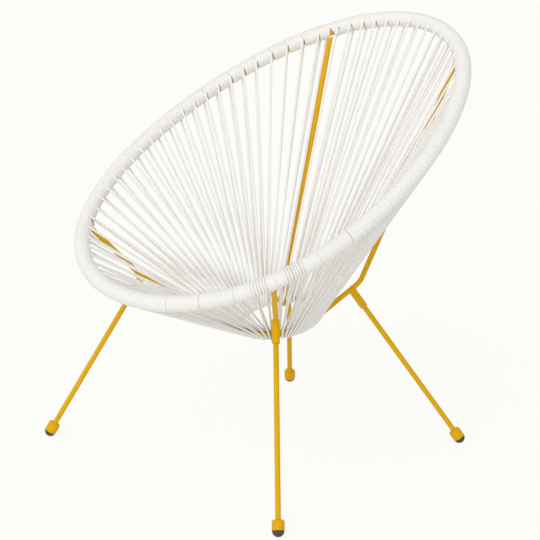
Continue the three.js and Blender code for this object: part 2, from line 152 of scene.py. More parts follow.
class LegSettings(bpy.types.PropertyGroup):
    """The screwed-in legs and their feet."""

    leg: FloatProperty(
        name="Leg diameter", description="The leg tube's outside diameter",
        default=0.011, unit="LENGTH")
    leg_wall: FloatProperty(
        name="Leg wall", description="The leg tube's wall", default=0.0012, unit="LENGTH")
    socket: FloatProperty(
        name="Socket diameter", description="The leg socket's outside diameter",
        default=0.016, unit="LENGTH")
    socket_length: FloatProperty(
        name="Socket length", description="From the strut's middle line to the socket's mouth",
        default=0.048, unit="LENGTH")
    stud: FloatProperty(
        name="Stud diameter", description="Across the stud's thread", default=0.008, unit="LENGTH")
    stud_shown: FloatProperty(
        name="Stud shown", description="The neck between socket and leg",
        default=0.004, unit="LENGTH")
    thread_pitch: FloatProperty(
        name="Thread pitch", description="From one thread to the next",
        default=0.00125, unit="LENGTH")
    cup: FloatProperty(
        name="Cup diameter", description="The foot cup's outside diameter",
        default=0.025, unit="LENGTH")
    cup_height: FloatProperty(
        name="Cup height", description="The foot cup's height", default=0.0215, unit="LENGTH")
    cup_shoulder: FloatProperty(
        name="Cup shoulder", description="The radius of the cup's rounded shoulder",
        default=0.0045, unit="LENGTH")
    tip: FloatProperty(
        name="Tip diameter", description="The rubber dome's diameter", default=0.024, unit="LENGTH")
    tip_flat_depth: FloatProperty(
        name="Tip flat", description="How deep the dome is pressed flat on the floor",
        default=0.0005, unit="LENGTH")


class CordSettings(bpy.types.PropertyGroup):
    """The one long cord."""

    diameter: FloatProperty(
        name="Cord diameter", description="The cord's diameter", default=0.005, unit="LENGTH")
    slack: FloatProperty(
        name="Slack", description="Between the wound cord and the steel under it",
        default=0.0001, unit="LENGTH")
    units: IntVectorProperty(
        name="Loops in each stretch", description="Loops to the ring, back, left, front and right",
        size=4, default=(13, 22, 19, 22))
    turns_per_unit: IntProperty(
        name="Turns", description="Turns round the rim from one loop to the next", default=7)
    wide_units: IntVectorProperty(
        name="Wide units",
        description="How many of each stretch's last loops stand a turn further apart",
        size=4, default=(0, 0, 0, 4))
    loose_first: IntVectorProperty(
        name="Loose at the start", description="How many of each stretch's first units lack a turn",
        size=4, default=(0, 0, 1, 0))
    loose_last: IntVectorProperty(
        name="Loose at the end", description="How many of each stretch's last units lack a turn",
        size=4, default=(0, 1, 0, 0))
    after_strut: FloatVectorProperty(
        name="After the strut", description="From each strut on to the first strand that comes up",
        size=4, default=(0.0195, 0.0093, 0.0093, 0.0093))
    before_strut: FloatVectorProperty(
        name="Before the strut",
        description="From each strut back to the strand that goes down beside it",
        size=4, default=(0.014, 0.005, 0.0025, 0.004))
    last_top: FloatProperty(
        name="Last strand", description="From a stretch's last upper strand to the next strut",
        default=0.0257, unit="LENGTH")
    ring_after: FloatProperty(
        name="Ring, after a strut",
        description="From each strut to the first upper strand at the ring",
        default=0.004, unit="LENGTH")
    ring_before: FloatProperty(
        name="Ring, before a strut",
        description="From the last upper strand at the ring to the strut",
        default=0.0135, unit="LENGTH")
    beside_strut: FloatProperty(
        name="Beside a strut",
        description="How far to the side of a strut's middle line the cord must lie",
        default=0.0085, unit="LENGTH")
    lean: FloatProperty(
        name="Lean", description="How far ahead of its loop a winding may end",
        default=0.0012, unit="LENGTH")
    spread: FloatProperty(
        name="Spread", description="The share by which the wound cord is wider than round",
        default=0.13)
    wander: FloatProperty(
        name="Wander", description="How far a hand-wound turn strays",
        default=0.00015, unit="LENGTH")
    bow: FloatProperty(
        name="Bow", description="How far a strand strays from straight",
        default=0.0008, unit="LENGTH")


class FinishSettings(bpy.types.PropertyGroup):
    """The colours."""

    powder: FloatVectorProperty(
        name="Powder coat", description="The frame's yellow", size=3, subtype="COLOR",
        default=linear_colour(0xE6B004))
    pvc: FloatVectorProperty(
        name="Cord", description="The cord's white", size=3, subtype="COLOR",
        default=linear_colour(0xFAF8F4))
    rubber: FloatVectorProperty(
        name="Rubber", description="The tips' dark brown grey", size=3, subtype="COLOR",
        default=linear_colour(0x4A4238))
    zinc: FloatVectorProperty(
        name="Zinc", description="The studs' plating", size=3, subtype="COLOR",
        default=linear_colour(0xC4C6C7))
    backdrop: FloatVectorProperty(
        name="Backdrop", description="The pale room behind the chair", size=3, subtype="COLOR",
        default=linear_colour(0xFEFEFA))
    floor: FloatVectorProperty(
        name="Floor", description="The pale floor", size=3, subtype="COLOR",
        default=linear_colour(0xFCFCF8))


class StageSettings(bpy.types.PropertyGroup):
    """The camera, solved from the photograph, and the lamps."""

    azimuth: FloatProperty(
        name="Azimuth", description="Round from the front towards the sitter's left",
        default=math.radians(46.94), subtype="ANGLE")
    elevation: FloatProperty(
        name="Elevation", description="Above level", default=math.radians(16.63), subtype="ANGLE")
    roll: FloatProperty(
        name="Roll", description="Turn about the view", default=math.radians(0.31), subtype="ANGLE")
    distance: FloatProperty(
        name="Distance", description="From the camera to its aim", default=4.1445, unit="LENGTH")
    aim: FloatVectorProperty(
        name="Aim", description="The point the distance is measured to", size=3,
        default=(0.0, -0.0085, 0.43), subtype="TRANSLATION")
    aside: FloatVectorProperty(
        name="Aside", description="The camera's shift to the right and up", size=2,
        default=(-0.0264, -0.0507), unit="LENGTH")
    focal_px: FloatProperty(
        name="Focal length", description="In pixels of the photograph", default=1986.8)
    centre_px: FloatVectorProperty(
        name="Centre", description="Where the view's axis meets the photograph, in its pixels",
        size=2, default=(261.75, 275.36))
    world_strength: FloatProperty(
        name="Room light", description="The even light from all round", default=0.52)
    key_strength: FloatProperty(
        name="Key lamp", description="The soft key light", default=0.6)
    front_strength: FloatProperty(
        name="Front lamp", description="The broad light from beside the camera", default=0.85)
    lamp_angle: FloatProperty(
        name="Lamp size", description="How wide each lamp is, seen from the chair",
        default=math.radians(40), subtype="ANGLE")


def unit(vectors):
    """Vectors scaled to length one, along the last axis."""
    return vectors / np.linalg.norm(vectors, axis=-1, keepdims=True)


class Hoop:
    """A closed curve in a leaning plane. A point is the middle plus the outline's sideways and
    rising parts, and a place is a length along it from the back."""

    CHORDS = 2880

    def __init__(self, middle, tilt, outline):
        self.middle = np.array(middle)
        self.rise = np.array([0.0, math.cos(tilt), math.sin(tilt)])
        self.outline = outline
        self.angles = np.linspace(0, 2 * np.pi, self.CHORDS + 1)
        chords = np.linalg.norm(np.diff(self.point(self.angles), axis=0), axis=1)
        self.lengths = np.concatenate([[0.0], np.cumsum(chords)])
        self.length = self.lengths[-1]

    def point(self, angle):
        """The middle, plus the outline's two parts on the sideways and the rising direction."""
        aside, along = self.outline(np.asarray(angle))
        return self.middle + aside[..., None] * np.array([1.0, 0, 0]) + along[..., None] * self.rise

    def tangent(self, angle, step=1e-4):
        """The way along the curve: from a point just before the angle to one just after it."""
        return unit(self.point(np.asarray(angle) + step) - self.point(np.asarray(angle) - step))

    def length_at(self, angle):
        """The length along the curve from the back to an angle."""
        return np.interp(angle, self.angles, self.lengths)

    def angle_at(self, length):
        """The angle at a length along the curve, on any lap."""
        return np.interp(np.mod(length, self.length), self.lengths, self.angles)


def hoops():
    """The rim and the bottom ring."""
    size = bpy.context.scene.chair_hoops

    def oval(angle):
        aside = (size.rim_half_width * np.sin(angle) - size.rim_front_fullness * np.sin(2 * angle)
                 + size.rim_side_fullness * np.sin(3 * angle))
        return aside, size.rim_half_length * np.cos(angle)

    def circle(angle):
        return size.ring_radius * np.sin(angle), size.ring_radius * np.cos(angle)

    rim = Hoop((0, 0, size.rim_height), size.rim_tilt, oval)
    ring = Hoop((0, size.ring_behind_rim, size.ring_height), size.ring_tilt, circle)
    return rim, ring


def hoop_frame(hoop, length, down):
    """At places on a hoop: the point, and the directions off the web and into it."""
    angle = hoop.angle_at(length)
    tangent = hoop.tangent(angle)
    off = unit(np.cross(down, tangent))
    return hoop.point(angle), off, np.cross(tangent, off)


def strut_lines(pair, hand):
    """A strut's middle line: its top on the rim's line, its bend, and its end under the ring."""
    size = bpy.context.scene.chair_struts
    hoop_size = bpy.context.scene.chair_hoops
    rim, ring = hoops()
    i = PAIRS.index(pair)
    top = rim.point(size.rim_angles[i])
    over = ring.point(size.ring_angles[i])
    down = over - top
    along = unit(down)
    out = unit(np.cross(rim.tangent(size.rim_angles[i]), along))
    aside = np.cross(along, out)
    bend = (top + size.bend_shares[i] * down + size.bend_outs[i] * out
            + size.bend_asides[i] * aside)
    reach = (size.diameter + hoop_size.ring_rod) / 2
    towards = over - bend
    dip = math.asin(reach / np.linalg.norm(towards))
    towards = unit(towards)
    under = unit(np.cross(ring.tangent(size.ring_angles[i]), towards))
    seat = over + reach * (math.cos(dip) * under - math.sin(dip) * towards)
    lower = unit(seat - bend)
    mirror = np.array([HANDS[hand], 1.0, 1.0])
    lines = {"top": top, "bend": bend, "seat": seat, "end": seat + size.tail * lower, "over": over}
    return {name: place * mirror for name, place in lines.items()}


def leg_lines(pair, hand):
    """A leg's axis: from its place on the strut to the middle of the tip's dome."""
    size = bpy.context.scene.chair_struts
    legs = bpy.context.scene.chair_legs
    i = PAIRS.index(pair)
    lines = strut_lines(pair, hand)
    lower = unit(lines["seat"] - lines["bend"])
    head = lines["bend"] + size.sockets_below_bend[i] * lower
    dome_middle = legs.tip / 2 - legs.tip_flat_depth
    foot = np.array([HANDS[hand] * size.feet_x[i], size.feet_y[i], dome_middle])
    return head, foot, unit(foot - head), float(np.linalg.norm(foot - head))


def grid(points, around=True, runs_round=False):
    """A grid of points as faces: rows along the piece, columns round it. Open ends get caps."""
    rows, columns = points.shape[:2]
    index = np.arange(rows * columns).reshape(rows, columns)
    if runs_round:
        index = np.vstack([index, index[:1]])
    if around:
        index = np.hstack([index, index[:, :1]])
    corners = (index[:-1, :-1], index[:-1, 1:], index[1:, 1:], index[1:, :-1])
    faces = np.stack(corners, axis=-1).reshape(-1, 4).tolist()
    if around and not runs_round:
        faces.append(index[0, :-1][::-1].tolist())
        faces.append(index[-1, :-1].tolist())
    return points.reshape(-1, 3), faces


def make_piece(name, grids, material, nodes=(), sharp=math.radians(40)):
    """One object from grids. It rides on the frame and stands for the CAD nodes named."""
    points = np.concatenate([part[0] for part in grids])
    starts = np.cumsum([0] + [len(part[0]) for part in grids[:-1]])
    faces = [[corner + int(start) for corner in face]
             for (_, part_faces), start in zip(grids, starts) for face in part_faces]
    mesh = bpy.data.meshes.new(name)
    mesh.from_pydata(points, [], faces)
    mesh.polygons.foreach_set("use_smooth", np.ones(len(mesh.polygons), dtype=bool))
    mesh.set_sharp_from_angle(angle=sharp)
    mesh.materials.append(material)
    piece = bpy.data.objects.new(name, mesh)
    bpy.context.scene.collection.objects.link(piece)
    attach(piece, ROOT)
    if nodes:
        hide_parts(*nodes)
    return piece


def full_turn(count):
    """Angles once round, evenly spaced, without the last, which is the first again."""
    return np.linspace(0, 2 * np.pi, count, endpoint=False)


def spokes_round(axis, turn):
    """Directions square to an axis, right-handed about it: the turn's cosine on one and its sine
    on the next."""
    first = unit(np.cross(axis, [1.0, 0, 0] if abs(axis[0]) < 0.9 else [0, 1.0, 0]))
    second = np.cross(axis, first)
    return np.cos(turn)[:, None] * first + np.sin(turn)[:, None] * second


def turned(profile, place, direction, segments=48, runs_round=False):
    """A turned shape: each profile point's radius swings round the axis at its height."""
    profile = np.asarray(profile, dtype=float)
    spokes = spokes_round(direction, full_turn(segments))
    points = place + profile[:, 1, None, None] * direction + profile[:, 0, None, None] * spokes
    return grid(points, runs_round=runs_round)


def tube(path, normals, radius, sides, runs_round=False, wide=1.0):
    """A section carried along a path: the point plus the radius times the cosine of the turn on the
    normal and its sine on the third direction. Where wide is over one, the section is that much
    wider than round, and as much lower."""
    if runs_round:
        tangents = unit(np.roll(path, -1, axis=0) - np.roll(path, 1, axis=0))
    else:
        tangents = unit(np.gradient(path, axis=0))
    third = unit(np.cross(tangents, normals))
    first = np.cross(third, tangents)
    turn = full_turn(sides)
    radius = np.broadcast_to(radius, len(path))[:, None, None]
    wide = np.broadcast_to(wide, len(path))[:, None, None]
    points = path[:, None] + radius * ((2 - wide) * np.cos(turn)[:, None] * first[:, None]
                                       + wide * np.sin(turn)[:, None] * third[:, None])
    return grid(points, runs_round=runs_round)


def arc(middle, radius, start, end, count):
    """Points of a circle's arc as radius and height."""
    angle = np.linspace(start, end, count)
    across, high = middle[0] + radius * np.cos(angle), middle[1] + radius * np.sin(angle)
    return np.stack([across, high], axis=1)


def bent_line(start, corner, end, radius, count, straight=8):
    """A line bent once: straight, an arc of the radius that touches both legs, straight."""
    into, out = unit(corner - start), unit(end - corner)
    turn = math.acos(float(np.clip(into @ out, -1, 1)))
    setback = radius * math.tan(turn / 2)
    middle = corner + unit(out - into) * radius / math.cos(turn / 2)
    first = corner - setback * into - middle
    second = radius * into
    swing = np.linspace(0, turn, count)[:, None]
    bend = middle + np.cos(swing) * first + np.sin(swing) * second
    upper = start + np.linspace(0, 1, straight, endpoint=False)[:, None] * (bend[0] - start)
    lower = bend[-1] + np.linspace(0, 1, straight + 1)[1:, None] * (end - bend[-1])
    path = np.concatenate([upper, bend, lower])
    side = unit(np.cross(into, out))
    return path, np.broadcast_to(side, path.shape)


def add_node(tree, kind, settings=None, links=None):
    """Adds a shader node, sets its values and sockets, and links sockets to its inputs."""
    node = tree.nodes.new(kind)
    for name, value in (settings or {}).items():
        if isinstance(name, str) and hasattr(node, name):
            setattr(node, name, value)
        else:
            node.inputs[name].default_value = value
    for name, socket in (links or {}).items():
        tree.links.new(socket, node.inputs[name])
    return node


def new_material(name):
    """An empty node material with its output, and the tree."""
    material = bpy.data.materials.new(name)
    material.use_nodes = True
    material.node_tree.nodes.clear()
    return material, material.node_tree


def colour(value):
    """A colour setting as red, green, blue and alpha."""
    return (*value, 1.0)


def rays_that_show(tree):
    """One for rays that show the backdrop, seen directly, mirrored or through glass, and else
    nought: the largest of three Light Path outputs."""
    rays = add_node(tree, "ShaderNodeLightPath")
    either = add_node(tree, "ShaderNodeMath", {"operation": "MAXIMUM"}, {
        0: rays.outputs["Is Camera Ray"], 1: rays.outputs["Is Glossy Ray"]})
    shown = add_node(tree, "ShaderNodeMath", {"operation": "MAXIMUM"}, {
        0: either.outputs["Value"], 1: rays.outputs["Is Transmission Ray"]})
    return shown.outputs["Value"]


def powder_coat():
    """Satin polyester powder coat on steel: an even yellow with the faint orange peel of baked
    powder."""
    if "Powder-coated steel" in bpy.data.materials:
        return bpy.data.materials["Powder-coated steel"]
    material, tree = new_material("Powder-coated steel")
    yellow = bpy.context.scene.chair_finish.powder
    place = add_node(tree, "ShaderNodeTexCoord").outputs["Object"]
    # Orange peel is a swell of about 1.5 mm, a few hundredths of a millimetre high
    peel = add_node(tree, "ShaderNodeTexNoise", {"Scale": 650.0, "Detail": 2.0}, {"Vector": place})
    bump = add_node(tree, "ShaderNodeBump", {"Strength": 0.25, "Distance": 0.05 * MM},
                    {"Height": peel.outputs["Fac"]})
    # Film build varies over a few centimetres, which shifts the yellow a little
    drift = add_node(tree, "ShaderNodeTexNoise", {"Scale": 25.0, "Detail": 3.0}, {"Vector": place})
    tint = add_node(tree, "ShaderNodeMix", {
        "data_type": "RGBA",
        6: colour([value * 0.93 for value in yellow]),
        7: colour([min(value * 1.05, 1) for value in yellow]),
    }, {0: drift.outputs["Fac"]})
    gloss = add_node(tree, "ShaderNodeMapRange", {"To Min": 0.3, "To Max": 0.42},
                     {"Value": drift.outputs["Fac"]})
    shader = add_node(tree, "ShaderNodeBsdfPrincipled", {
        "IOR": 1.5, "Metallic": 0.0, "Specular IOR Level": 0.12,
    }, {
        "Base Color": tint.outputs[2],
        "Roughness": gloss.outputs["Result"],
        "Normal": bump.outputs["Normal"],
    })
    add_node(tree, "ShaderNodeOutputMaterial", None, {"Surface": shader.outputs["BSDF"]})
    return material


def pvc_cord():
    """Extruded plasticised PVC: smooth, milky white, with faint lines along it from the die."""
    if "Extruded PVC cord" in bpy.data.materials:
        return bpy.data.materials["Extruded PVC cord"]
    material, tree = new_material("Extruded PVC cord")
    white = bpy.context.scene.chair_finish.pvc
    place = add_node(tree, "ShaderNodeTexCoord")
    # Die lines: about a dozen round the cord, drawn out over centimetres
    stretch = add_node(tree, "ShaderNodeMapping", {"Scale": (20.0, 12.0, 1.0)},
                       {"Vector": place.outputs["UV"]})
    lines = add_node(tree, "ShaderNodeTexNoise", {"Scale": 1.0, "Detail": 2.0},
                     {"Vector": stretch.outputs["Vector"]})
    bump = add_node(tree, "ShaderNodeBump", {"Strength": 0.2, "Distance": 0.1 * MM},
                    {"Height": lines.outputs["Fac"]})
    # Handling leaves a very slight warm greying in patches of some centimetres
    patches = add_node(tree, "ShaderNodeTexNoise", {"Scale": 18.0, "Detail": 2.0},
                       {"Vector": place.outputs["Object"]})
    tint = add_node(tree, "ShaderNodeMix", {
        "data_type": "RGBA", 6: colour([value * 0.96 for value in white]), 7: colour(white),
    }, {0: patches.outputs["Fac"]})
    shader = add_node(tree, "ShaderNodeBsdfPrincipled", {
        "IOR": 1.53, "Roughness": 0.42, "Specular IOR Level": 0.3,
    }, {
        "Base Color": tint.outputs[2],
        "Normal": bump.outputs["Normal"],
    })
    add_node(tree, "ShaderNodeOutputMaterial", None, {"Surface": shader.outputs["BSDF"]})
    return material


def rubber():
    """Moulded rubber: matt dark brown grey, finely grained, dusty where it meets the floor."""
    if "Moulded rubber" in bpy.data.materials:
        return bpy.data.materials["Moulded rubber"]
    material, tree = new_material("Moulded rubber")
    dark = bpy.context.scene.chair_finish.rubber
    place = add_node(tree, "ShaderNodeTexCoord").outputs["Object"]
    # Mould grain of about a third of a millimetre
    grain = add_node(tree, "ShaderNodeTexNoise", {"Scale": 3000.0, "Detail": 3.0},
                     {"Vector": place})
    bump = add_node(tree, "ShaderNodeBump", {"Strength": 0.5, "Distance": 0.1 * MM},
                    {"Height": grain.outputs["Fac"]})
    height = add_node(tree, "ShaderNodeSeparateXYZ", None, {"Vector": place})
    # Floor dust fades out over the lowest 5 mm
    dust = add_node(tree, "ShaderNodeMapRange", {
        "From Min": 0.0, "From Max": 5 * MM, "To Min": 0.45, "To Max": 0.0,
    }, {"Value": height.outputs["Z"]})
    pale = [min(value * 2.6 + 0.03, 1) for value in dark]
    tint = add_node(tree, "ShaderNodeMix", {"data_type": "RGBA", 6: colour(dark), 7: colour(pale)},
                    {0: dust.outputs["Result"]})
    shader = add_node(tree, "ShaderNodeBsdfPrincipled", {"IOR": 1.52, "Roughness": 0.72}, {
        "Base Color": tint.outputs[2],
        "Normal": bump.outputs["Normal"],
    })
    add_node(tree, "ShaderNodeOutputMaterial", None, {"Surface": shader.outputs["BSDF"]})
    return material


def zinc_plate():
    """Bright zinc plate on a rolled steel thread: a pale grey metal, a little clouded."""
    if "Zinc-plated steel" in bpy.data.materials:
        return bpy.data.materials["Zinc-plated steel"]
    material, tree = new_material("Zinc-plated steel")
    grey = bpy.context.scene.chair_finish.zinc
    place = add_node(tree, "ShaderNodeTexCoord").outputs["Object"]
    # The plate clouds over patches of about 2.5 mm
    clouds = add_node(tree, "ShaderNodeTexNoise", {"Scale": 400.0, "Detail": 3.0},
                      {"Vector": place})
    rough = add_node(tree, "ShaderNodeMapRange", {"To Min": 0.25, "To Max": 0.45},
                     {"Value": clouds.outputs["Fac"]})
    shader = add_node(tree, "ShaderNodeBsdfPrincipled", {
        "Metallic": 1.0, "Base Color": colour(grey),
    }, {"Roughness": rough.outputs["Result"]})
    add_node(tree, "ShaderNodeOutputMaterial", None, {"Surface": shader.outputs["BSDF"]})
    return material


class CHAIR_OT_stage(bpy.types.Operator):
    """Sets up the camera, the pale floor, the room light and the two lamps."""

    bl_idname = "chair.stage"
    bl_label = "Stage"

    FLOOR_HALF = 20.0
    BACKDROP_SHARE = 0.88
    BACKDROP_STRENGTH = 1.02
    # Each lamp's turns about X, Y and Z, in degrees
    KEY_TURNS = (38, -12, 20)
    FRONT_TURNS = (68, 0, 38)

    def execute(self, context):
        size = context.scene.chair_stage
        self.add_camera(context, size)
        self.add_floor(context)
        self.add_room(context, size)
        self.add_lamps(context, size)
        context.scene.view_settings.view_transform = "Standard"
        return {"FINISHED"}

    def add_camera(self, context, size):
        """The camera stands back from its aim along its own axis, which the azimuth and elevation
        give."""
        turn, lift, roll = size.azimuth, size.elevation, size.roll
        back = np.array([
            math.sin(turn) * math.cos(lift), -math.cos(turn) * math.cos(lift), math.sin(lift)])
        right = np.array([math.cos(turn), math.sin(turn), 0])
        up = np.cross(back, right)
        place = (np.array(size.aim) + size.distance * back
                 + size.aside[0] * right + size.aside[1] * up)
        rolled_right = math.cos(roll) * right + math.sin(roll) * up
        rolled_up = math.cos(roll) * up - math.sin(roll) * right
        data = bpy.data.cameras.new("photo_camera")
        data.sensor_width = SENSOR_MM
        data.lens = size.focal_px / IMAGE_PX * SENSOR_MM
        data.shift_x = (IMAGE_PX / 2 - size.centre_px[0]) / IMAGE_PX
        data.shift_y = (size.centre_px[1] - IMAGE_PX / 2) / IMAGE_PX
        data.clip_end = 100.0
        camera = bpy.data.objects.new("photo_camera", data)
        context.scene.collection.objects.link(camera)
        axes = np.stack([rolled_right, rolled_up, back], axis=1)
        camera.matrix_world = Matrix.Translation(place) @ Matrix(axes.tolist()).to_4x4()
        context.scene.camera = camera

    def add_floor(self, context):
        """A wide level floor in matt pale paint."""
        half = self.FLOOR_HALF
        mesh = bpy.data.meshes.new("studio_floor")
        corners = [(-half, -half, 0), (half, -half, 0), (half, half, 0), (-half, half, 0)]
        mesh.from_pydata(corners, [], [(0, 1, 2, 3)])
        material, tree = new_material("Matt white floor paint")
        finish = context.scene.chair_finish
        lit = add_node(tree, "ShaderNodeBsdfDiffuse", {"Color": colour(finish.floor)})
        seen = add_node(tree, "ShaderNodeEmission", {
            "Color": colour(finish.backdrop), "Strength": self.BACKDROP_STRENGTH})
        # Most of what is seen is the backdrop's own white, and the rest takes the chair's shadow
        part = add_node(tree, "ShaderNodeMath", {"operation": "MULTIPLY", 1: self.BACKDROP_SHARE},
                        {0: rays_that_show(tree)})
        mixed = add_node(tree, "ShaderNodeMixShader", None, {
            0: part.outputs["Value"], 1: lit.outputs["BSDF"], 2: seen.outputs["Emission"]})
        add_node(tree, "ShaderNodeOutputMaterial", None, {"Surface": mixed.outputs["Shader"]})
        mesh.materials.append(material)
        floor = bpy.data.objects.new("studio_floor", mesh)
        context.scene.collection.objects.link(floor)

    def add_room(self, context, size):
        """Even light from all round, with the backdrop's colour wherever it is seen, mirrored or
        seen through glass."""
        world = bpy.data.worlds.new("studio_room")
        world.use_nodes = True
        tree = world.node_tree
        tree.nodes.clear()
        light = add_node(tree, "ShaderNodeBackground", {
            "Color": (1, 1, 1, 1), "Strength": size.world_strength})
        seen = add_node(tree, "ShaderNodeBackground", {
            "Color": colour(context.scene.chair_finish.backdrop), "Strength": 1.0})
        mixed = add_node(tree, "ShaderNodeMixShader", None, {
            0: rays_that_show(tree), 1: light.outputs["Background"], 2: seen.outputs["Background"]})
        add_node(tree, "ShaderNodeOutputWorld", None, {"Surface": mixed.outputs["Shader"]})
        context.scene.world = world

    def add_lamps(self, context, size):
        """A broad soft key from above the camera's left shoulder, and a front light from beside the
        camera that reaches between the cords."""
        lamps = {"key_lamp": (size.key_strength, self.KEY_TURNS),
                 "front_lamp": (size.front_strength, self.FRONT_TURNS)}
        for name, (strength, turns) in lamps.items():
            data = bpy.data.lights.new(name, "SUN")
            data.energy = strength
            data.angle = size.lamp_angle
            lamp = bpy.data.objects.new(name, data)
            context.scene.collection.objects.link(lamp)
            lamp.rotation_euler = [math.radians(turn) for turn in turns]


class CHAIR_OT_hoops(bpy.types.Operator):
    """Builds the rim tube and the bottom ring."""

    bl_idname = "chair.hoops"
    bl_label = "Hoops"

    def execute(self, context):
        size = context.scene.chair_hoops
        rim, ring = hoops()
        self.bend_hoop("rim_tube_smooth", rim, size.rim_tube / 2, "rim_hoop",
                       stations=420, sides=24)
        self.bend_hoop("ring_rod_smooth", ring, size.ring_rod / 2, "bottom_ring",
                       stations=160, sides=20)
        return {"FINISHED"}

    def bend_hoop(self, name, hoop, radius, node, stations, sides):
        """A round section carried round the hoop's line, its normals square to the hoop's plane."""
        path = hoop.point(full_turn(stations))
        normals = np.broadcast_to(np.cross([1.0, 0, 0], hoop.rise), path.shape)
        make_piece(name, [tube(path, normals, radius, sides, runs_round=True)],
                   powder_coat(), [node])


class CHAIR_OT_struts(bpy.types.Operator):
    """Builds the four bent struts with their weld beads."""

    bl_idname = "chair.struts"
    bl_label = "Struts"

    # How far the sawn end is eased
    END_EASE = 1.0 * MM
    # The bead at the rim: its half width, the height of its ripples as a share, and their count
    RIM_BEAD = 1.5 * MM
    RIM_RIPPLE, RIM_RIPPLES = 0.14, 12
    # The beads at the ring: half sizes along the ring, along the strut and towards the ring, how
    # far each lies from the strut's crossing, and how far it rises off the strut, all in mm
    RING_BEAD_MM = (6.5, 2.4, 2.2)
    RING_BEAD_APART_MM, RING_BEAD_RISE_MM = 3.2, 0.3
    RING_RIPPLE, RING_RIPPLES = 0.08, 8
    # The angle at which a bead's pole is closed
    POLE = 0.12

    def execute(self, context):
        size = context.scene.chair_struts
        for pair, hand in CORNERS:
            lines = strut_lines(pair, hand)
            path, normals = bent_line(lines["top"], lines["bend"], lines["end"],
                                      size.bend_radius, 24)
            radius = np.full(len(path), size.diameter / 2)
            ease = unit(path[-1] - path[-2]) * self.END_EASE
            path = np.concatenate([path, path[-1:] + ease])
            normals = np.concatenate([normals, normals[-1:]])
            radius = np.concatenate([radius, [size.diameter / 2 - self.END_EASE]])
            make_piece(f"rod_strut_{pair}_{hand}", [tube(path, normals, radius, sides=24)],
                       powder_coat(), [f"strut_{pair}_{hand}"])
            beads = [self.rim_bead(lines, pair, hand), *self.ring_beads(lines, pair, hand)]
            make_piece(f"weld_beads_{pair}_{hand}", beads, powder_coat())
        return {"FINISHED"}

    def rim_bead(self, lines, pair, hand):
        """A rippled bead on the curve where the strut's surface meets the rim tube's: each point
        of the strut's surface slides along the strut until it is a tube's radius from the rim's
        line, which is the positive root of a square in the slide."""
        size = bpy.context.scene.chair_struts
        hoop_size = bpy.context.scene.chair_hoops
        rim, _ = hoops()
        i = PAIRS.index(pair)
        tangent = rim.tangent(HANDS[hand] * size.rim_angles[i])
        along = unit(lines["bend"] - lines["top"])
        turn = full_turn(72)
        spokes = spokes_round(along, turn)
        across = spokes * size.diameter / 2
        flat_across = across - (across @ tangent)[:, None] * tangent
        flat_along = along - (along @ tangent) * tangent
        a = flat_along @ flat_along
        b = flat_across @ flat_along
        c = np.einsum("ij,ij->i", flat_across, flat_across) - (hoop_size.rim_tube / 2) ** 2
        slide = (-b + np.sqrt(b * b - a * c)) / a
        path = lines["top"] + across + slide[:, None] * along
        ripple = self.RIM_BEAD * (1 + self.RIM_RIPPLE * np.cos(self.RIM_RIPPLES * turn))
        return tube(path, spokes, ripple, sides=10, runs_round=True)

    def ring_beads(self, lines, pair, hand):
        """Two short beads where the strut passes under the ring, each an egg drawn out along the
        ring: a small oval whose size is the sine of the way along the bead."""
        size = bpy.context.scene.chair_struts
        _, ring = hoops()
        i = PAIRS.index(pair)
        tangent = ring.tangent(HANDS[hand] * size.ring_angles[i])
        along = unit(lines["end"] - lines["bend"])
        lift = unit(lines["over"] - lines["seat"])
        touch = lines["seat"] + lift * size.diameter / 2
        turn, around = np.linspace(self.POLE, np.pi - self.POLE, 20), full_turn(20)
        swell = np.sin(turn) * (1 + self.RING_RIPPLE * np.cos(self.RING_RIPPLES * turn))
        long_axis, wide, high = (axis * half * MM for axis, half
                                 in zip((tangent, along, lift), self.RING_BEAD_MM))
        oval = np.cos(around)[:, None] * wide + np.sin(around)[:, None] * high
        if np.cross(wide, high) @ long_axis < 0:
            oval = oval[::-1]
        beads = []
        for side in (-1, 1):
            middle = (touch + side * self.RING_BEAD_APART_MM * MM * along
                      + self.RING_BEAD_RISE_MM * MM * lift)
            points = (middle - np.cos(turn)[:, None, None] * long_axis
                      + swell[:, None, None] * oval)
            beads.append(grid(points))
        return beads


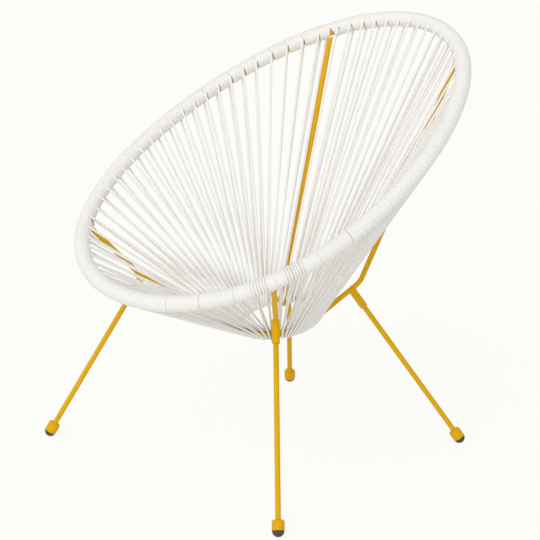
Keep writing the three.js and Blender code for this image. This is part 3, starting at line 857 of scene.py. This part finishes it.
class CHAIR_OT_legs(bpy.types.Operator):
    """Builds the leg sockets, the threaded studs and the leg tubes."""

    bl_idname = "chair.legs"
    bl_label = "Legs"

    # The socket: the height of its domed head, its taper as steps in from the corner of the mouth
    # and up from it, the bore's room round the stud, its depth and its lead-in
    DOME_HIGH = 6 * MM
    TAPER_MM = ((0, 3.0), (0.35, 1.2), (1.2, 0))
    BORE_ROOM, BORE_DEPTH, LEAD_IN = 0.3 * MM, 24 * MM, 0.7 * MM
    # The weld under the strut: half its width, its ripples, and how square its loop is, where one
    # is an ellipse and less is squarer
    BEAD = 1.3 * MM
    RIPPLE, RIPPLES = 0.15, 16
    SQUARENESS = 0.35
    # What a turned shape leaves open at its pole, which a cap closes
    POLE_ANGLE, POLE_RADIUS = 0.02, 0.05 * MM
    # The stud: how far it runs into the socket and the leg, its thread's depth as a share of its
    # pitch, and the rows of points in a pitch
    IN_SOCKET, IN_LEG = 8 * MM, 4 * MM
    THREAD_DEPTH = 0.6
    ROWS_PER_PITCH = 8
    # The leg: the lip of its neck as steps out from the bore and down from the neck's top, the
    # neck's wall, how far above the tube's top it ends, the shoulder as steps in from the tube and
    # up from its top, and the gaps to the socket's mouth and the foot's middle
    LIP_MM = ((0, 0.3), (0.15, 0), (0.35, 0), (0.55, 0.3))
    NECK_WALL, NECK_END = 0.55 * MM, 0.9 * MM
    SHOULDER_MM = ((0.3, 0.2), (0, -0.6))
    SOCKET_GAP, FOOT_GAP = 0.3 * MM, 9 * MM

    def execute(self, context):
        size = context.scene.chair_legs
        for pair, hand in CORNERS:
            head, _, down, length = leg_lines(pair, hand)
            self.socket(size, pair, hand, head, down)
            self.stud(size, pair, hand, head, down)
            self.leg(size, pair, hand, head, down, length)
        return {"FINISHED"}

    def socket(self, size, pair, hand, head, down):
        """A turned sleeve: an elliptical head, a straight side, a tapered mouth and its bore."""
        r, long = size.socket / 2, size.socket_length
        bore, floor = size.stud / 2 + self.BORE_ROOM, long - self.BORE_DEPTH
        dome = arc((0, 0), 1.0, -np.pi / 2 + self.POLE_ANGLE, 0, 12) * [r, self.DOME_HIGH]
        profile = np.concatenate([
            dome + [0, self.DOME_HIGH / 2],
            [r, long] - np.array(self.TAPER_MM) * MM,
            [[bore + self.LEAD_IN, long], [bore, long - self.LEAD_IN], [bore, floor],
             [self.POLE_RADIUS, floor]],
        ])
        shapes = [turned(profile, head, down), self.bead(size, pair, hand, head, down)]
        make_piece(f"turned_socket_{pair}_{hand}", shapes, powder_coat(),
                   [f"leg_socket_{pair}_{hand}"])

    def bead(self, size, pair, hand, head, down):
        """The weld round the strut where it runs into the socket's head: a loop on the strut's
        surface, out along one side, under, and back along the other."""
        strut = bpy.context.scene.chair_struts
        lines = strut_lines(pair, hand)
        along = unit(lines["seat"] - lines["bend"])
        lift = unit(-down + (down @ along) * along)
        third = np.cross(along, lift)
        turn = full_turn(96)
        # Round the strut's flank: half the loop lies before the socket's axis and half behind it
        reach = size.socket / 2 * np.cos(turn)
        tilt = np.pi / 2 * np.sign(np.sin(turn)) * np.abs(np.sin(turn)) ** self.SQUARENESS
        radial = np.cos(np.pi - tilt)[:, None] * lift + np.sin(np.pi - tilt)[:, None] * third
        path = head + reach[:, None] * along + strut.diameter / 2 * radial
        ripple = self.BEAD * (1 + self.RIPPLE * np.cos(self.RIPPLES * turn))
        return tube(path, radial, ripple, sides=8, runs_round=True)

    def stud(self, size, pair, hand, head, down):
        """A thread: the radius falls and rises once for each pitch, and the groove climbs one pitch
        in each turn."""
        top = size.socket_length - self.IN_SOCKET
        bottom = size.socket_length + size.stud_shown + self.IN_LEG
        rows = int((bottom - top) / size.thread_pitch * self.ROWS_PER_PITCH)
        height, around = np.linspace(top, bottom, rows), full_turn(32)
        phase = height[:, None] / size.thread_pitch - around[None] / (2 * np.pi)
        depth = self.THREAD_DEPTH * size.thread_pitch * np.abs(2 * (phase % 1) - 1)
        radius = size.stud / 2 - depth
        spokes = spokes_round(down, around)
        points = head + height[:, None, None] * down + radius[..., None] * spokes
        make_piece(f"threaded_stud_{pair}_{hand}", [grid(points)], zinc_plate(),
                   [f"leg_stud_{pair}_{hand}"])

    def leg(self, size, pair, hand, head, down, length):
        """The leg tube: a thin neck rolled in round the stud, up to the socket's mouth, and then a
        shoulder, the straight side and the bore."""
        r, bore = size.leg / 2, size.leg / 2 - size.leg_wall
        mouth, bottom = size.socket_length + self.SOCKET_GAP, length - self.FOOT_GAP
        top = size.socket_length + size.stud_shown
        profile = np.concatenate([
            [bore, mouth] + np.array(self.LIP_MM) * MM,
            [[bore + self.NECK_WALL, top - self.NECK_END]],
            [r, top] - np.array(self.SHOULDER_MM) * MM,
            [[r, bottom], [bore, bottom]],
        ])
        tube_leg = turned(profile, head, down, segments=40, runs_round=True)
        make_piece(f"tube_leg_{pair}_{hand}", [tube_leg], powder_coat(), [f"leg_{pair}_{hand}"])


class CHAIR_OT_feet(bpy.types.Operator):
    """Builds the foot cups and the rubber tips."""

    bl_idname = "chair.feet"
    bl_label = "Feet"

    # The cup: its wall, how far its mouth is above the dome's middle, the roll of that mouth, and
    # the weld to the leg, as steps out from the leg's side and up from the cup's height
    WALL, MOUTH, ROLL = 2 * MM, 0.9 * MM, 0.6 * MM
    NECK_MM = ((1.4, 0.1), (0.5, 0.5), (-0.1, 1.3), (-0.4, -3))
    # How far its roof lies below the height, and how high its inner edge is
    ROOF, INNER_EDGE = 3.5 * MM, 0.3 * MM
    # The tip: how far its plug stands inside the cup's side, the plug's top and foot, the parting
    # bead's radius with its middle in from the dome's side and down, and where the dome meets it
    PLUG_INSET, PLUG_TOP, PLUG_FOOT = 2.3 * MM, 8 * MM, 0.35 * MM
    PARTING_BEAD, BEAD_IN, BEAD_DOWN = 0.4 * MM, 0.25 * MM, 0.1 * MM
    DOME_END = 0.03
    # What a turned shape leaves open at its pole, which a cap closes
    POLE_ANGLE, POLE_RADIUS = 0.01, 0.1 * MM

    def execute(self, context):
        size = context.scene.chair_legs
        for pair, hand in CORNERS:
            _, foot, down, _ = leg_lines(pair, hand)
            self.cup(size, pair, hand, foot, -down)
            self.tip(size, pair, hand, foot, -down)
        return {"FINISHED"}

    def cup(self, size, pair, hand, foot, up):
        """A pressed cup upside down on the leg: rolled mouth, straight side, round shoulder."""
        r, high, shoulder = size.cup / 2, size.cup_height, size.cup_shoulder
        inner = r - self.WALL
        profile = np.concatenate([
            arc((r - self.ROLL, self.MOUTH), self.ROLL, -np.pi / 2, 0, 6),
            arc((r - shoulder, high - shoulder), shoulder, 0, np.pi / 2, 16),
            [size.leg / 2, high] + np.array(self.NECK_MM) * MM,
            [[inner, high - self.ROOF], [inner, self.MOUTH], [inner + self.ROLL, self.INNER_EDGE]],
        ])
        cup = turned(profile, foot, up, segments=56, runs_round=True)
        make_piece(f"pressed_cup_{pair}_{hand}", [cup], powder_coat(), [f"foot_cup_{pair}_{hand}"])

    def tip(self, size, pair, hand, foot, up):
        """A moulded dome with a thin parting bead, pressed flat on the floor."""
        r = size.tip / 2
        dome = arc((0, 0), r, -np.pi / 2 + self.POLE_ANGLE, -self.DOME_END, 26)
        bead = arc((r - self.BEAD_IN, -self.BEAD_DOWN), self.PARTING_BEAD,
                   -np.pi / 3, np.pi / 2, 6)
        plug = size.cup / 2 - self.PLUG_INSET
        inside = [[plug, self.PLUG_FOOT], [plug, self.PLUG_TOP], [self.POLE_RADIUS, self.PLUG_TOP]]
        points, faces = turned(np.concatenate([dome, bead, inside]), foot, up, segments=56)
        points = np.concatenate([points[:, :2], np.maximum(points[:, 2:], 0.0)], axis=1)
        make_piece(f"rubber_dome_{pair}_{hand}", [(points, faces)], rubber(),
                   [f"rubber_tip_{pair}_{hand}"])


class Web:
    """Where the cord leaves and reaches the rim and the ring, as lengths from the back. Each loop
    goes down from a bottom place, on the rim's underside, and comes up to a top place."""

    # The part of each loop's missing pass that the turns beside it close. It is uneven, as winding
    # by hand is.
    CLOSING_SHARES = (0.3, 0.75)
    CLOSING_SEED = 11

    def __init__(self):
        size = bpy.context.scene.chair_cord
        strut = bpy.context.scene.chair_struts
        self.rim, self.ring = hoops()
        self.on_rim = self.strut_places(self.rim, strut.rim_angles)
        self.on_ring = self.strut_places(self.ring, strut.ring_angles)
        self.tops, self.ring_tops, self.turns = [], [], []
        for i in range(4):
            turns = np.full(size.units[i] - 1, size.turns_per_unit)
            turns[len(turns) - size.wide_units[i]:] += 1
            share = np.concatenate([[0.0], np.cumsum(turns)]) / turns.sum()
            first = self.on_rim[i] + size.after_strut[i]
            self.tops.append(first + share * (self.on_rim[i + 1] - size.last_top - first))
            self.ring_tops.append(np.linspace(
                self.on_ring[i] + size.ring_after, self.on_ring[i + 1] - size.ring_before,
                size.units[i]))
            turns[:size.loose_first[i]] -= 1
            turns[len(turns) - size.loose_last[i]:] -= 1
            self.turns.append(turns)
        self.pitch = (self.tops[1][1] - self.tops[1][0]) / size.turns_per_unit
        laps = self.rim.length * np.array([-1, 0, 1])
        ring_laps = self.ring.length * np.array([-1, 0, 1])
        tops, ring_tops = np.concatenate(self.tops), np.concatenate(self.ring_tops)
        self.all_tops = np.concatenate([tops + lap for lap in laps])
        self.all_ring_tops = np.concatenate([ring_tops + lap for lap in ring_laps])
        self.struts = np.concatenate([self.on_rim[:4] + lap for lap in laps])
        rng = np.random.default_rng(self.CLOSING_SEED)
        self.closing = rng.uniform(*self.CLOSING_SHARES, len(self.all_tops))

    def strut_places(self, hoop, angles):
        """Where the struts are along a hoop: back right, back left, front left, front right, and
        the first again a lap on."""
        front, back = (hoop.length_at(angle) for angle in angles)
        return np.array([-back, back, front, hoop.length - front, hoop.length - back])

    def bottom_at_strut(self, i):
        """The place, beside strut i, where a stretch's winding ends and goes down to the ring."""
        lap, i = divmod(i, 4)
        place = self.on_rim[i] - bpy.context.scene.chair_cord.before_strut[i]
        return place + lap * self.rim.length

    def down_at(self, length):
        """The way from the rim to the ring at places along the rim."""
        ring_length = np.interp(length, self.all_tops, self.all_ring_tops)
        return unit(self.ring.point(self.ring.angle_at(ring_length))
                    - self.rim.point(self.rim.angle_at(length)))

    def place(self, length, turn, radius):
        """Points round the rim's line: the radius times the turn's cosine off the web, towards the
        sitter, and its sine towards the ring. Also the outward directions."""
        point, off, along = hoop_frame(self.rim, length, self.down_at(length))
        outward = np.cos(turn)[:, None] * off + np.sin(turn)[:, None] * along
        return point + np.broadcast_to(radius, len(point))[:, None] * outward, outward


class CHAIR_OT_cord(bpy.types.Operator):
    """Winds the cord: round the rim turn by turn, down to the ring and back, loop after loop."""

    bl_idname = "chair.cord"
    bl_label = "Cord"

    STEPS_PER_TURN = 20
    SIDES = 10
    LOOP_POINTS = 13
    # The near-side passes close up with this power of the turn's sine
    CLOSING_POWER = 0.6
    # The cord is fully spread within this part of a turn from its ends
    SPREAD_WITHIN = 1 / 8
    # How far the passes part round a strut, the way along the rim in which that falls to about a
    # third, and the share of it at angles from the middle of the pass, in degrees
    PARTING, PARTING_REACH = 11.5 * MM, 30 * MM
    PARTING_DEGREES, PARTING_SHARES = (-88, 15, 40, 75), (0, 1, 0.9, 0)
    # Points of a strand: in mm from its upper end, as shares of it, and in mm from its lower end
    UPPER_MM = (5.0, 10.0, 17.0, 25.0, 32.0, 38.0, 44.0, 52.0)
    MIDDLE_SHARES = (0.25, 0.4, 0.55, 0.7, 0.85)
    LOWER_MM = (10.0, 4.0)
    # A strand that a strut pushes aside: where along it, as parts of the peak's distance from the
    # rim, and how much
    PUSH_PEAK = 38 * MM
    PUSH_AT, PUSH_SHARES = (0, 0.8, 1, 1.3), (0, 0.84, 0.97, 0.96, 0)
    # How far from a strut's middle line such a strand passes, and the part of the lack that the
    # push takes up
    CLEAR_OF_STRUT, PUSH_PART = 0.0098, 0.85
    # The cord across a strut: its distance from the rim's line, and the strut's slope there
    LASH_DOWN, STRUT_SLOPE = 17.5 * MM, math.radians(8)
    # Its points over the strut and down each side
    LASH_OVER, LASH_SIDE = 17, 9

    def execute(self, context):
        size = context.scene.chair_cord
        hoop_size = context.scene.chair_hoops
        self.wound = hoop_size.rim_tube / 2 + size.slack + size.diameter / 2
        self.looped = hoop_size.ring_rod / 2 + size.slack + size.diameter / 2
        web = Web()
        for i, name in enumerate(SPANS):
            rng = np.random.default_rng(i)
            lines = [self.stretch(size, web, i, rng), self.bridge(size, web, i, rng),
                     self.lash(size, web, i)]
            grids = [tube(path, normals, size.diameter / 2, self.SIDES, wide=wide)
                     for path, normals, wide in lines]
            piece = make_piece(f"wound_cord_{name}", grids, pvc_cord(),
                               [f"cord_{name}_1", f"cord_{name}_2"], sharp=math.radians(80))
            self.unwrap(piece.data, [path for path, _, _ in lines])
        return {"FINISHED"}

    def wraps(self, size, web, start, end, turns, first_turn, rng):
        """A helix on the rim, from the top out over the far side, under and up the near side. The
        place grows as the turn falls, with a little stray each half turn. On the near side the
        turns close up on the pass that each loop leaves out, and part round the struts."""
        count = int(round(turns * self.STEPS_PER_TURN)) + 1
        share = np.linspace(0, 1, count)
        turn = first_turn - share * turns * 2 * np.pi
        pitch = (end - start) / turns
        knots = np.arange(int(2 * turns) + 2)
        stray = rng.normal(0, size.wander, len(knots))
        stray[[0, -1]] = 0
        length = start + share * (end - start) + np.interp(share * knots[-1], knots, stray)
        near = np.pi / 2 + 2 * np.pi * np.round((turn - np.pi / 2) / (2 * np.pi))
        middle = start + share * (end - start) + (turn - near) / (2 * np.pi) * pitch
        near_side = np.maximum(np.sin(turn), 0) ** self.CLOSING_POWER
        length += self.closed_up(web, middle) * near_side
        length += self.parted(web, middle, turn - near)
        # The soft cord spreads where it is pulled tight, and is round again at the ends
        ease = np.clip(np.minimum(share, 1 - share) * turns / self.SPREAD_WITHIN, 0, 1)
        return *web.place(length, turn, self.wound), 1 + size.spread * ease

    def closed_up(self, web, middle):
        """The shift of a near-side pass: nought halfway between two loops, and up to part of half a
        pitch towards the loop on either side."""
        # A loop's missing pass crosses the near side a quarter of a pitch before its top place
        gaps = web.all_tops - 0.25 * web.pitch
        after = np.clip(np.searchsorted(gaps, middle), 1, len(gaps) - 1)
        share = (middle - gaps[after - 1]) / (gaps[after] - gaps[after - 1])
        return web.closing[after] * (share - 0.5) * web.pitch

    def parted(self, web, middle, off_centre):
        """The shift of a near-side pass away from the nearest strut, dying out beside it and away
        from the strut's own angle."""
        nearest = web.struts[np.abs(middle[:, None] - web.struts[None]).argmin(axis=1)]
        x = middle - nearest
        fade = np.exp(-np.abs(x) / self.PARTING_REACH)
        window = np.interp(np.degrees(off_centre), self.PARTING_DEGREES, self.PARTING_SHARES)
        return np.where(x < 0, -1, 1) * self.PARTING * fade * window

    def strand(self, size, start, end, first, last, rng, aside=None):
        """A straight strand with points near its ends and a slight bow in its middle. A strand
        that a strut pushes aside runs straight to the push and straight on."""
        long = np.linalg.norm(end - start)
        upper, lower = (np.array(places) * MM / long for places in (self.UPPER_MM, self.LOWER_MM))
        share = np.concatenate([upper, self.MIDDLE_SHARES, 1 - lower])
        bow = rng.normal(0, size.bow, 3) * np.sin(np.pi * share[:, None]) ** 2
        path = start + share[:, None] * (end - start) + bow
        if aside is not None:
            at = [*(self.PUSH_PEAK / long * np.array(self.PUSH_AT)), 1]
            path += np.interp(share, at, self.PUSH_SHARES)[:, None] * aside
        return path, unit(first + share[:, None] * (last - first)), np.ones(len(share))

    def stretch(self, size, web, i, rng):
        """The cord's middle line over one stretch: down beside the strut, round the ring and up on
        the strut's other side, then round the rim to the next loop, and on to the next strut."""
        points, normals, widths = [], [], []
        tops, ring_tops, turns = web.tops[i], web.ring_tops[i], web.turns[i]
        bottom = web.bottom_at_strut(i)
        for j in range(len(tops)):
            # At the ring, a loop's two strands lie half a cord apart, as the next loop crowds them
            ring_bottom = ring_tops[j] - 0.5 * size.diameter
            aside = None
            if j == 0:
                ring_bottom = web.on_ring[i] - size.beside_strut
                tangent = web.rim.tangent(web.rim.angle_at(bottom))
                lack = max(self.CLEAR_OF_STRUT - size.before_strut[i], 0)
                aside = -lack * self.PUSH_PART * tangent
            leave, leave_out = web.place(np.array([bottom]), np.array([np.pi]), self.wound)
            arrive, arrive_out = web.place(tops[j:j + 1], np.array([0.0]), self.wound)
            turn = np.linspace(np.pi, 0, self.LOOP_POINTS)
            ring_place = np.linspace(ring_bottom, ring_tops[j], self.LOOP_POINTS)
            down = np.broadcast_to(web.down_at(tops[j:j + 1]), (self.LOOP_POINTS, 3))
            below, off, along = hoop_frame(web.ring, ring_place, down)
            loop_out = np.cos(turn)[:, None] * off + np.sin(turn)[:, None] * along
            loop = below + self.looped * loop_out
            up = self.strand(size, arrive[0], loop[-1], arrive_out[0], loop_out[-1], rng)
            parts = [(leave, leave_out, np.ones(1)),
                     self.strand(size, leave[0], loop[0], leave_out[0], loop_out[0], rng, aside),
                     (loop, loop_out, np.ones(self.LOOP_POINTS)),
                     [values[::-1] for values in up]]
            if j < len(turns):
                number = turns[j] - 0.5
                pitch = (tops[j + 1] - tops[j]) / turns[j]
                bottom = tops[j + 1] - 0.5 * pitch - rng.uniform(0, size.lean)
            else:
                bottom = web.bottom_at_strut(i + 1)
                number = round((bottom - tops[j]) / web.pitch + 0.5) - 0.5
            parts.append(self.wraps(size, web, tops[j], bottom, number, 0.0, rng))
            if j > 0:
                parts = parts[1:]
            for path, outward, wide in parts:
                points.append(path)
                normals.append(outward)
                widths.append(wide)
        return np.concatenate(points), np.concatenate(normals), np.concatenate(widths)

    def bridge(self, size, web, i, rng):
        """The turns over a strut, from the strand that goes down on its one side to the strand that
        comes up on its other."""
        start, end = web.bottom_at_strut(i), web.tops[i][0]
        room = end - start + 0.5 * web.pitch
        number = round(room / web.pitch) - 1
        step = room / (number + 1)
        return self.wraps(size, web, start, start + number * step, number, -np.pi, rng)

    def lash(self, size, web, i):
        """One cord across the strut's near side under the rim: up one side of the rod from below,
        half round it, and down the other side."""
        strut = bpy.context.scene.chair_struts
        clear = (strut.diameter + size.diameter) / 2
        lean = math.tan(self.STRUT_SLOPE) * self.LASH_DOWN
        swing = np.linspace(-np.pi / 2, np.pi / 2, self.LASH_OVER)
        side = np.full(self.LASH_SIDE, clear)
        across = np.concatenate([-side, clear * np.sin(swing), side])
        rise = clear * np.cos(swing) - lean
        turn_over = np.arctan2(self.LASH_DOWN, rise)
        radius_over = np.hypot(self.LASH_DOWN, rise)
        under = np.linspace(np.pi, turn_over[0], self.LASH_SIDE + 1)[:-1]
        dive = np.linspace(self.wound, radius_over[0], self.LASH_SIDE + 1)[:-1]
        turn = np.concatenate([under, turn_over, under[::-1]])
        radius = np.concatenate([dive, radius_over, dive[::-1]])
        return *web.place(web.on_rim[i] + across, turn, radius), np.ones(len(turn))

    def unwrap(self, mesh, paths):
        """A UV map for the cord: U is the length along it in metres, V is the share round it. Each
        path's tube has its faces row by row, and then two caps."""
        values = []
        for path in paths:
            steps = np.linalg.norm(np.diff(path, axis=0), axis=1)
            along = np.concatenate([[0.0], np.cumsum(steps)])
            row, column = np.meshgrid(
                np.arange(len(path) - 1), np.arange(self.SIDES), indexing="ij")
            corners = [(row, column), (row, column + 1), (row + 1, column + 1), (row + 1, column)]
            flat = np.stack(
                [np.stack([along[r], c / self.SIDES], axis=-1) for r, c in corners], axis=2)
            values += [flat.reshape(-1, 2), np.zeros((2 * self.SIDES, 2))]
        layer = mesh.uv_layers.new(name="UVMap")
        layer.uv.foreach_set("vector", np.concatenate(values).astype(np.float32).ravel())


class CHAIR_PT_panel(bpy.types.Panel):
    """Lists the chair's pieces and their sizes."""

    bl_idname = "CHAIR_PT_panel"
    bl_label = "Acapulco chair"
    bl_space_type = "VIEW_3D"
    bl_region_type = "UI"
    bl_category = "Chair"

    def draw(self, context):
        for operator in OPERATORS:
            self.layout.operator(operator.bl_idname)
        for name in SETTINGS:
            box = self.layout.box()
            group = getattr(context.scene, name)
            for key in group.bl_rna.properties.keys():
                if key not in ("rna_type", "name"):
                    box.prop(group, key)


SETTINGS = {
    "chair_hoops": HoopSettings,
    "chair_struts": StrutSettings,
    "chair_legs": LegSettings,
    "chair_cord": CordSettings,
    "chair_finish": FinishSettings,
    "chair_stage": StageSettings,
}
OPERATORS = (CHAIR_OT_stage, CHAIR_OT_cord, CHAIR_OT_hoops, CHAIR_OT_struts, CHAIR_OT_legs,
             CHAIR_OT_feet)
CLASSES = (*SETTINGS.values(), *OPERATORS, CHAIR_PT_panel)


def register():
    for item in CLASSES:
        bpy.utils.register_class(item)
    for name, group in SETTINGS.items():
        setattr(bpy.types.Scene, name, PointerProperty(type=group))


def unregister():
    for name in SETTINGS:
        delattr(bpy.types.Scene, name)
    for item in reversed(CLASSES):
        bpy.utils.unregister_class(item)


def main():
    register()
    bpy.ops.chair.stage()
    bpy.ops.chair.cord()
    bpy.ops.chair.hoops()
    bpy.ops.chair.struts()
    bpy.ops.chair.legs()
    bpy.ops.chair.feet()


if __name__ == "__main__":
    main()
